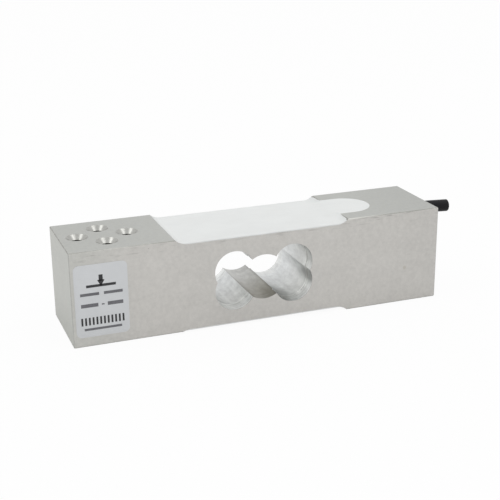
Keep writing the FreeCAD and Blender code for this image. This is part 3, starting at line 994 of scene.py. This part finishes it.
# ------------------------------------------------------------------ sealant
@dataclass
class SealantSheet(Assembly):
    """Silicone on one recess floor; the top one also fills the board's pocket."""

    name: str
    node: str
    face: float
    upward: bool
    crown: float
    seed: float
    skin: float = 0.25
    # How much of the skin is left where the silicone thins out at a recess's end.
    thinnest: float = 0.15
    step: float = 0.7
    blend: float = 0.3
    # Lengths and heights of the slow swells, and of those in the pocket.
    swells: tuple[tuple[float, float], ...] = ((9.0, 0.05), (3.5, 0.02))
    pocket_swell: tuple[float, float] = (4.0, 0.012)
    side_gap: float = 0.05
    side_start: float = 0.8
    wobble: float = 0.1
    wobble_length: float = 7.0
    # Row of the noise that each flank's edge follows.
    wobble_row: float = 40.0
    free_end: float = 0.3
    free_end_run: float = 2.0
    # Length of the free end's waves, and their height as a share of how far it is drawn back.
    free_end_swell: tuple[float, float] = (3.0, 0.25)
    gauge_room: float = 0.42
    gauge_half_x: float = 26.0
    gauge_half_y: float = 5.5
    pocket_half: float = 10.0
    pocket_tip_wall: float = 23.2
    flush: float = 0.06
    pocket_depth: float = 1.9
    pocket_start: float = -31.4
    pocket_rise: float = 10.0
    pocket_dish: float = 0.08
    pocket_wall: float = 3.0
    tip_cuts: int = 28
    corner: float = 0.45
    corner_width: float = 2.0
    edge_round: float = 0.1
    thinnest_edge: float = 0.05
    highest: float = -0.03
    sharp_degrees: float = 50.0
    has_tongue: bool = False

    @property
    def relief(self) -> float:
        """How far the load end's face lies inside the sheet's own face."""
        return 0.0 if self.upward else self.places.load_relief

    @property
    def tip(self) -> float:
        """X of the sheet's end on the fixed side."""
        return self.places.high.x - self.pocket_tip_wall if self.has_tongue else self.places.recess_end

    def build(self) -> None:
        """Make the sheet and put it in the CAD solid's place."""
        mesh = self.outline()
        faces = list(mesh.faces)
        for vert in mesh.verts:
            vert.co.x -= self.drawn_back(vert.co.x, vert.co.y)
            vert.co.z = self.surface(vert.co.x, vert.co.y)
        made = bmesh.ops.extrude_face_region(mesh, geom=faces, use_keep_orig=True)
        for vert in (item for item in made["geom"] if isinstance(item, BMVert)):
            vert.co.z = self.underside(vert.co.x, vert.co.y)
        self.round_edge(mesh)
        for vert in mesh.verts:
            vert.co.y = self.hand_smoothed(vert.co.x, vert.co.y)
        put(mesh, (0, 0, self.face), Matrix.Rotation(0.0 if self.upward else math.pi, 3, "X"))
        self.place(self.name, mesh, Finishes.SEALANT, "sealant", self.node, self.sharp_degrees)

    def outline(self) -> BMesh:
        """Flat sheet in plan at z = 0, cut to the recess and the pocket."""
        width = 2 * self.places.high.y
        end_run = self.places.cutter_run(self.places.recess_depth - self.relief)
        left = self.places.middle - self.places.flat_half - end_run
        length = self.tip - left
        mesh = bmesh.new()
        counts = {"x_segments": round(length / self.step), "y_segments": round(width / self.step)}
        bmesh.ops.create_grid(mesh, size=0.5, **counts)
        put(mesh, ((self.tip + left) / 2, 0, 0), size=(length, width, 1))
        if self.has_tongue:
            self.cut_tongue(mesh)
        return mesh

    def cut_tongue(self, mesh: BMesh) -> None:
        """Trim the sheet past the recess to the pocket's round-ended outline.

        Args:
            mesh: The flat sheet.
        """
        right, half = self.places.recess_end, self.pocket_half
        along, across = (1, 0, 0), (0, 1, 0)
        for point, normal in (((right, 0, 0), along), ((0, half, 0), across), ((0, -half, 0), across)):
            geometry = [*mesh.verts, *mesh.edges, *mesh.faces]
            bmesh.ops.bisect_plane(mesh, geom=geometry, dist=CUT_MERGE, plane_co=point, plane_no=normal)
        past = [face for face in mesh.faces if face.calc_center_median().x > right]
        outside = [face for face in past if abs(face.calc_center_median().y) > half]
        bmesh.ops.delete(mesh, geom=outside, context="FACES")
        centre = self.tip - half
        for index in range(self.tip_cuts):
            angle = math.pi * ((index + 0.5) / self.tip_cuts - 0.5)
            normal = Vector((math.cos(angle), math.sin(angle), 0))
            point = Vector((centre, 0, 0)) + normal * half
            faces = [face for face in mesh.faces if face.calc_center_median().x > centre - 1]
            # A dict keeps each vertex and edge once and in order, so that every run cuts alike.
            around = dict.fromkeys(item for face in faces for item in (*face.verts, *face.edges))
            cut = {"dist": CUT_MERGE, "plane_co": point, "plane_no": normal, "clear_outer": True}
            bmesh.ops.bisect_plane(mesh, geom=[*faces, *around], **cut)

    def wave(self, x: float, y: float, length: float) -> float:
        """This sheet's own noise."""
        return wavy(self.seed, x, y, length)

    def surface(self, x: float, y: float) -> float:
        """Height of the free surface against the bar's face.

        Args:
            x: Place along the bar.
            y: Place across it.

        Returns:
            The height, at most 0.
        """
        places = self.places
        share = part_way(abs(x - places.middle), places.flat_half, places.recess_half)
        off_middle = (y / places.high.y) ** 2
        arch = self.crown * (1 - off_middle) + self.skin * off_middle
        swell = sum(size * self.wave(x, y, length) for length, size in self.swells)
        poured = arch - places.recess_depth + swell
        clinging = places.floor(x) + self.skin * (1 - (1 - self.thinnest) * share)
        highest = self.highest - (self.relief if x < places.middle else 0.0)
        height = min((poured + clinging + math.hypot(poured - clinging, self.blend)) / 2, highest)
        if not self.has_tongue or x < self.pocket_start or abs(y) > self.pocket_half + SAME_PLACE:
            return height
        past_centre = max(x - self.tip + self.pocket_half, 0.0)
        reach = min(math.hypot(past_centre, y) / self.pocket_half, 1.0)
        length, size = self.pocket_swell
        flush = size * self.wave(x, y, length) - self.flush - self.pocket_dish * (1 - reach**2)
        rise = smooth(x, self.pocket_start, self.pocket_start + self.pocket_rise)
        filled = poured + (flush - poured) * rise
        edge = height if x < places.recess_end else flush
        off_wall = smooth((1 - reach) * self.pocket_half, 0.0, self.pocket_wall)
        return min(edge + (filled - edge) * off_wall, self.highest)

    def underside(self, x: float, y: float) -> float:
        """Height of the sheet's hidden side against the bar's face.

        Args:
            x: Place along the bar.
            y: Place across it.

        Returns:
            The height.
        """
        past_middle = x - self.places.middle
        in_pocket = past_middle > self.places.flat_half and abs(y) < self.pocket_half + SAME_PLACE
        if self.has_tongue and in_pocket:
            return -self.pocket_depth
        over_gauge = abs(y) < self.gauge_half_y and abs(past_middle) < self.gauge_half_x
        return self.places.floor(x) + (self.gauge_room if over_gauge else 0.0)

    def hand_smoothed(self, x: float, y: float) -> float:
        """Place across the bar, with the sheet's side edges drawn in unevenly.

        Args:
            x: Place along the bar.
            y: Place across it.

        Returns:
            The moved Y.
        """
        side = self.places.high.y
        if abs(x - self.places.middle) > self.places.recess_half + SAME_PLACE:
            return y
        wave = self.wave(x, math.copysign(self.wobble_row, y), self.wobble_length)
        dip = self.side_gap + self.wobble * max(0.0, wave)
        return y * (1 - dip / side * part_way(abs(y) / side, self.side_start, 1.0))

    def drawn_back(self, x: float, y: float) -> float:
        """How far the free end beside the tongue stops short of the recess's end.

        Args:
            x: Place along the bar.
            y: Place across it.

        Returns:
            The distance, most at the corners.
        """
        start, end = self.places.middle + self.places.flat_half, self.places.recess_end
        outer = part_way(abs(y), self.pocket_half, self.pocket_half + self.free_end_run)
        if not self.has_tongue or not start < x < end + SAME_PLACE or outer == 0:
            return 0.0
        side = self.places.high.y
        corner = self.corner * smooth(abs(y), side - self.corner_width, side)
        length, size = self.free_end_swell
        short = self.free_end * outer * (1 + size * self.wave(y, length, length)) + corner
        return short * (x - start) / (end - start)

    def round_edge(self, mesh: BMesh) -> None:
        """Soften the free edge along both flanks.

        Args:
            mesh: The closed sheet.
        """
        rim = []
        thinnest = self.thinnest_edge
        for edge in mesh.edges:
            walls = {abs(face.normal.z) < 0.5 for face in edge.link_faces}
            on_side = all(abs(abs(vert.co.y) - self.places.high.y) < SAME_PLACE for vert in edge.verts)
            above = all(vert.co.z > self.underside(vert.co.x, vert.co.y) + thinnest for vert in edge.verts)
            if len(walls) == 2 and on_side and above:
                rim.append(edge)
        soften(mesh, rim, self.edge_round)


# ------------------------------------------------------------------ cable
@dataclass
class CableStub(Assembly):
    """Black cable, cut off short of the end face, with what its cut end shows."""

    radius: float = 2.5
    wall: float = 0.75
    sides: int = 56
    ring_spacing: float = 0.8
    axis_height: float = 33.1
    inner_end: float = -7.5
    straight_out: float = 4.0
    drooped: float = 10.0
    droop_degrees: float = 3.0
    bend_length: float = 3.0
    cut_edge: float = 0.07
    squash: float = 0.006
    squash_length: float = 5.0
    skin_depth: float = 0.2
    core_offset: float = 0.62
    strand_radius: float = 0.098
    strand_length: float = 1.2
    strand_proud: float = 0.05
    # Share of that by which even the shortest strand stands proud.
    least_proud: float = 0.4
    strand_sides: int = 10
    strand_taper: float = 0.9

    def build(self) -> None:
        """Make the jacket and strands, and dress the cable's other parts."""
        dressed = {
            "cable_shield": Finishes.SHIELD,
            "drain_wire": Finishes.SHIELD,
            "core_red": Finishes.CORE_RED,
            "core_black": Finishes.CORE_BLACK,
            "core_green": Finishes.CORE_GREEN,
            "core_white": Finishes.CORE_WHITE,
            "core_conductors": Finishes.COPPER,
            "cable_seal": Finishes.SEAL,
        }
        self.dress(dressed)
        self.jacket()
        self.strands()

    @property
    def bend_middle(self) -> float:
        """Where the cable droops, from its inner end."""
        return self.places.high.x + self.straight_out - self.inner_end

    @property
    def length(self) -> float:
        """Length of the stub's centre line from inside the pocket to the cut."""
        return self.bend_middle + self.drooped

    def bent(self, point: Vector) -> Vector:
        """Place a point of the straight cable on its drooping centre line.

        Args:
            point: X along the cable from its inner end, Y and Z off its axis.

        Returns:
            The place in the model.
        """
        droop = math.radians(self.droop_degrees)
        start = self.bend_middle - self.bend_length / 2
        radius = self.bend_length / droop
        along = point.x
        turned = min(max(along - start, 0.0) / radius, droop)
        left = max(along - start - self.bend_length, 0.0)
        sine, cosine = math.sin(turned), math.cos(turned)
        x = min(along, start) + (radius + point.z) * sine + left * cosine
        z = (radius + point.z) * cosine - radius - left * sine
        return Vector((x + self.inner_end, point.y, z + self.axis_height))

    def jacket(self) -> None:
        """Extruded jacket: a tube with a slightly broken cut edge."""
        mesh = bmesh.new()
        radii = {"radius1": self.radius, "radius2": self.radius}
        bmesh.ops.create_cone(mesh, cap_ends=False, segments=self.sides, depth=self.length, **radii)
        put(mesh, (self.length / 2, 0, 0), ALONG_X)
        for index in range(1, round(self.length / self.ring_spacing)):
            geometry = [*mesh.verts, *mesh.edges, *mesh.faces]
            place = (index * self.ring_spacing, 0, 0)
            bmesh.ops.bisect_plane(mesh, geom=geometry, dist=CUT_MERGE, plane_co=place, plane_no=(1, 0, 0))
        bmesh.ops.recalc_face_normals(mesh, faces=mesh.faces)
        bmesh.ops.solidify(mesh, geom=mesh.faces, thickness=self.wall)
        ends = []
        for edge in mesh.edges:
            at_cut = all(abs(vert.co.x - self.length) < SAME_PLACE for vert in edge.verts)
            first, second = (vert.co.yz.length for vert in edge.verts)
            if at_cut and abs(first - second) < SAME_PLACE:
                ends.append(edge)
        soften(mesh, ends, self.cut_edge)
        for vert in mesh.verts:
            swell = 1 + self.squash * wavy(2.0, vert.co.x, 0.0, self.squash_length)
            if vert.co.yz.length > self.radius - self.skin_depth:
                vert.co.yz = vert.co.yz * min(swell, 1.0)
            vert.co = self.bent(vert.co)
        self.place("cable_jacket_cut", mesh, Finishes.JACKET, "jacket", "cable_jacket")

    def strands(self) -> None:
        """Seven copper strands in each core's cut end."""
        mesh = bmesh.new()
        lay = 2 * self.strand_radius
        turns = [turn * math.pi / 3 for turn in range(6)]
        spots = [(0.0, 0.0)] + [(lay * math.cos(turn), lay * math.sin(turn)) for turn in turns]
        radius = self.strand_radius
        sizes = {"radius1": radius, "radius2": self.strand_taper * radius, "depth": self.strand_length}
        for y_sign, z_sign in product((-1, 1), repeat=2):
            for index, (y, z) in enumerate(spots):
                made = bmesh.ops.create_cone(mesh, cap_ends=True, segments=self.strand_sides, **sizes)
                uneven = abs(wavy(5.0, index * 1.7, y_sign + 3.1 * z_sign, 1.0))
                proud = self.strand_proud * (self.least_proud + (1 - self.least_proud) * uneven)
                x = self.length + proud - self.strand_length / 2
                place = (x, y_sign * self.core_offset + y, z_sign * self.core_offset + z)
                put(mesh, place, ALONG_X, verts=made["verts"])
        for vert in mesh.verts:
            vert.co = self.bent(vert.co)
        self.place("conductor_strands", mesh, Finishes.COPPER, "copper")


# ------------------------------------------------------------------ label
class Stroke(NamedTuple):
    """One printed bar: its middle from the label's middle and from its bottom edge, and its size."""

    x: float
    z: float
    width: float
    height: float


@dataclass
class RatingLabel(Assembly):
    """Film label on the front face, with a plain load mark and blank rules in place of words."""

    corner: float = 2.0
    corner_segments: int = 10
    thickness: float = 0.12
    edge_round: float = 0.03
    print_thickness: float = 0.02
    # Middle of the arrow's head from the label's bottom edge, and its radius.
    head_height: float = 21.0
    head_radius: float = 1.6
    first_stripe: Stroke = Stroke(-7.7, 6.1, 0.7, 3.0)
    stripe_spacing: float = 1.4
    stripe_count: int = 12
    # Beam under the load, and the arrow's shaft.
    mark: tuple[Stroke, ...] = (Stroke(0.0, 19.7, 11.0, 1.0), Stroke(0.0, 22.6, 1.5, 2.4))
    # Blank rules where a rating would be written.
    rules: tuple[Stroke, ...] = (
        Stroke(-4.4, 16.6, 7.0, 1.1),
        Stroke(4.4, 16.6, 7.0, 1.1),
        Stroke(-4.6, 12.3, 6.4, 1.4),
        Stroke(0.4, 12.3, 1.0, 0.5),
        Stroke(5.0, 12.3, 5.8, 1.4),
        Stroke(0.0, 3.0, 14.0, 0.9),
    )
    low: Vector = field(init=False)
    high: Vector = field(init=False)

    def __post_init__(self) -> None:
        """Read the label's box."""
        self.low, self.high = box_of("label")

    def build(self) -> None:
        """Make the label and its print."""
        first = self.first_stripe
        places = [first.x + self.stripe_spacing * index for index in range(self.stripe_count)]
        stripes = [first._replace(x=place) for place in places]
        self.plate()
        for name, finish, strokes, head in (
            ("label_load_mark", Finishes.INK, [*self.mark, *stripes], True),
            ("label_blank_rules", Finishes.INK_THIN, self.rules, False),
        ):
            mesh = bmesh.new()
            for stroke in strokes:
                made = bmesh.ops.create_cube(mesh, size=1.0)["verts"]
                size = (stroke.width, self.print_thickness, stroke.height)
                put(mesh, self.spot(stroke), size=size, verts=made)
            if head:
                self.arrow_head(mesh)
            self.place(name, mesh, finish, "label")

    def plate(self) -> None:
        """Film with round corners and a softened edge."""
        mesh = bmesh.new()
        bmesh.ops.create_cube(mesh, size=1.0)
        width, height = self.high.x - self.low.x, self.high.z - self.low.z
        centre = (self.low + self.high) / 2
        centre.y = self.high.y - self.thickness / 2
        put(mesh, centre, size=(width, self.thickness, height))
        corners = [e for e in mesh.edges if abs(e.verts[0].co.y - e.verts[1].co.y) > self.thickness / 2]
        soften(mesh, corners, self.corner, self.corner_segments)
        front = [e for e in mesh.edges if all(v.co.y < self.high.y - self.thickness * 0.9 for v in e.verts)]
        soften(mesh, front, self.edge_round)
        self.place("label_film", mesh, Finishes.LABEL, "label", "label")

    def spot(self, stroke: Stroke) -> Point:
        """Middle of a stroke in the model."""
        y = self.high.y - self.thickness - self.print_thickness / 2
        return (self.low.x + self.high.x) / 2 + stroke.x, y, self.low.z + stroke.z

    def arrow_head(self, mesh: BMesh) -> None:
        """Head of the load arrow, pointing down at the beam.

        Args:
            mesh: The print's bmesh.
        """
        radii = {"radius1": self.head_radius, "radius2": self.head_radius}
        made = bmesh.ops.create_cone(mesh, cap_ends=True, segments=3, depth=self.print_thickness, **radii)
        turn = Matrix.Rotation(math.pi / 2, 3, "X") @ Matrix.Rotation(math.pi, 3, "Z")
        put(mesh, self.spot(Stroke(0.0, self.head_height, 0.0, 0.0)), turn, verts=made["verts"])


# ------------------------------------------------------------------ what lies under the sealant
@dataclass
class BridgeCircuit(Assembly):
    """Gauges, board and leads under the silicone."""

    def build(self) -> None:
        """Dress each hidden part."""
        finishes = {
            "bridge_board": Finishes.BOARD,
            "board_pads": Finishes.COPPER,
            "trim_resistors": Finishes.CHIP,
            "top_gauge_leads": Finishes.LEAD_ENAMEL,
            "bottom_gauge_leads": Finishes.LEAD_ENAMEL,
        }
        for level, end in product(("top", "bottom"), ("load", "fixed")):
            finishes[f"gauge_carrier_{level}_{end}"] = Finishes.CARRIER
            finishes[f"gauge_foil_{level}_{end}"] = Finishes.FOIL
        self.dress(finishes)


# ------------------------------------------------------------------ studio
@dataclass(frozen=True)
class SoftBox:
    """A rectangular soft lamp aimed at the cell: metres from it, its sides in metres, and its watts."""

    name: str
    direction: Point
    distance: float
    size: tuple[float, float]
    power: float


@dataclass
class Studio:
    """Pale floor, white surround, soft lamps overhead and the camera."""

    places: BarPlaces
    camera_place: Point = (-199.46, -379.34, 164.08)
    azimuth: float = -20.468
    elevation: float = 19.073
    roll: float = -0.560
    lens: float = 77.74
    sensor_width: float = 36.0
    surround_light: float = 0.89
    floor_radius: float = 4000.0
    floor_gap: float = 0.01
    floor_colour: str = "#EFEFEF"
    floor_seen: float = 0.94
    floor_reflected: float = 0.25
    boxes: tuple[SoftBox, ...] = (
        SoftBox("soft_box_left", (-0.537, 0.028, 0.843), 0.948, (0.34, 0.25), 0.5),
        SoftBox("soft_box_right", (0.358, -0.318, 0.878), 0.91, (0.48, 0.3), 0.7),
    )

    def build(self) -> None:
        """Make everything around the cell."""
        self.camera()
        self.world()
        self.floor()
        for box in self.boxes:
            self.lamp(box)
        bpy.context.scene.view_settings.view_transform = "Standard"

    def camera(self) -> None:
        """Camera at the product's three-quarter view."""
        data = bpy.data.cameras.new("camera")
        data.lens = self.lens
        data.sensor_width = self.sensor_width
        data.clip_start, data.clip_end = 0.01, 20.0
        camera = bpy.data.objects.new("camera", data)
        camera.matrix_world = Matrix.Translation(Vector(self.camera_place) * MM)
        for degrees, axis in ((self.azimuth, "Z"), (90.0 - self.elevation, "X"), (self.roll, "Z")):
            camera.matrix_world = camera.matrix_world @ Matrix.Rotation(math.radians(degrees), 4, axis)
        bpy.context.scene.collection.objects.link(camera)
        bpy.context.scene.camera = camera

    def shown(self, add: Callable[..., Node], seen: float, reflected: float) -> Node:
        """Share of plain white that a ray meets: 0 for light on the object.

        Args:
            add: Adds a node to the tree in hand.
            seen: Share for a ray from the camera or through glass.
            reflected: Share for a ray off a shiny surface.

        Returns:
            The share.
        """
        path = add("LightPath")
        straight = {0: path.outputs["Is Camera Ray"], 1: path.outputs["Is Transmission Ray"]}
        seen_share = add("Math", TIMES, {0: add("Math", LARGER, straight), 1: seen})
        glossy_share = add("Math", TIMES, {0: path.outputs["Is Glossy Ray"], 1: reflected})
        return add("Math", LARGER, {0: seen_share, 1: glossy_share})

    def world(self) -> None:
        """White surround that lights the object a little less than it shows."""
        world = bpy.data.worlds.new("surround")
        add = cleared(world)
        light = add("Background", None, {"Color": linear(WHITE), "Strength": self.surround_light})
        white = add("Background", None, {"Color": linear(WHITE), "Strength": 1.0})
        mixed = add("MixShader", None, {0: self.shown(add, 1.0, 1.0), 1: light, 2: white})
        add("OutputWorld", None, {"Surface": mixed})
        bpy.context.scene.world = world

    def floor(self) -> None:
        """Plain pale floor that touches the seat's inner edge and the load end's lower edge."""
        seat_edge = self.places.high.x - self.places.end_block
        tilt = math.atan2(self.places.load_relief, seat_edge - self.places.low.x)
        mesh = bmesh.new()
        bmesh.ops.create_circle(mesh, cap_ends=True, segments=64, radius=self.floor_radius)
        bmesh.ops.reverse_faces(mesh, faces=[face for face in mesh.faces if face.normal.z < 0])
        put(mesh, (seat_edge, 0, -self.floor_gap), Matrix.Rotation(tilt, 3, "Y"))
        piece = finished("floor", mesh, closed=False)
        piece.data.materials.append(self.floor_material())

    def floor_material(self) -> Material:
        """Matt white board, shown as the white background with the object's shadow kept.

        Returns:
            The material.
        """
        material = bpy.data.materials.new("board_matt_white")
        add = cleared(material)
        board = add("BsdfDiffuse", None, {"Color": linear(self.floor_colour)})
        white = add("Emission", None, {"Color": linear(WHITE), "Strength": 1.0})
        share = self.shown(add, self.floor_seen, self.floor_reflected)
        lit = add("MixShader", None, {0: share, 1: board, 2: white})
        clear = add("BsdfTransparent")
        side = add("NewGeometry")
        both = add("MixShader", None, {0: side.outputs["Backfacing"], 1: lit, 2: clear})
        add("OutputMaterial", None, {"Surface": both})
        return material

    def lamp(self, box: SoftBox) -> None:
        """Place one soft lamp.

        Args:
            box: The lamp.
        """
        data = bpy.data.lights.new(box.name, "AREA")
        data.shape = "RECTANGLE"
        data.size, data.size_y = box.size
        data.energy = box.power
        lamp = bpy.data.objects.new(box.name, data)
        target = Vector((self.places.middle, 0, self.places.high.z / 2)) * MM
        direction = Vector(box.direction).normalized()
        lamp.location = target + direction * box.distance
        lamp.rotation_mode = "QUATERNION"
        lamp.rotation_quaternion = direction.to_track_quat("Z", "Y")
        bpy.context.scene.collection.objects.link(lamp)


def main() -> None:
    """Build the whole scene, piece by piece."""
    logging.basicConfig(level=logging.INFO, format="%(name)s: %(message)s")
    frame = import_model()
    places = BarPlaces()
    shared = (frame["nodes"], places, Paints())
    top = {"face": places.high.z, "upward": True, "crown": 1.3, "seed": 11.3, "has_tongue": True}
    bottom = {"face": 0.0, "upward": False, "crown": 0.75, "seed": 27.9}
    Studio(places).build()
    SpringElement(*shared).build()
    BridgeCircuit(*shared).build()
    SealantSheet(*shared, "top_silicone", "top_sealant", **top).build()
    SealantSheet(*shared, "bottom_silicone", "bottom_sealant", **bottom).build()
    CableStub(*shared).build()
    RatingLabel(*shared).build()


if __name__ == "__main__":
    main()
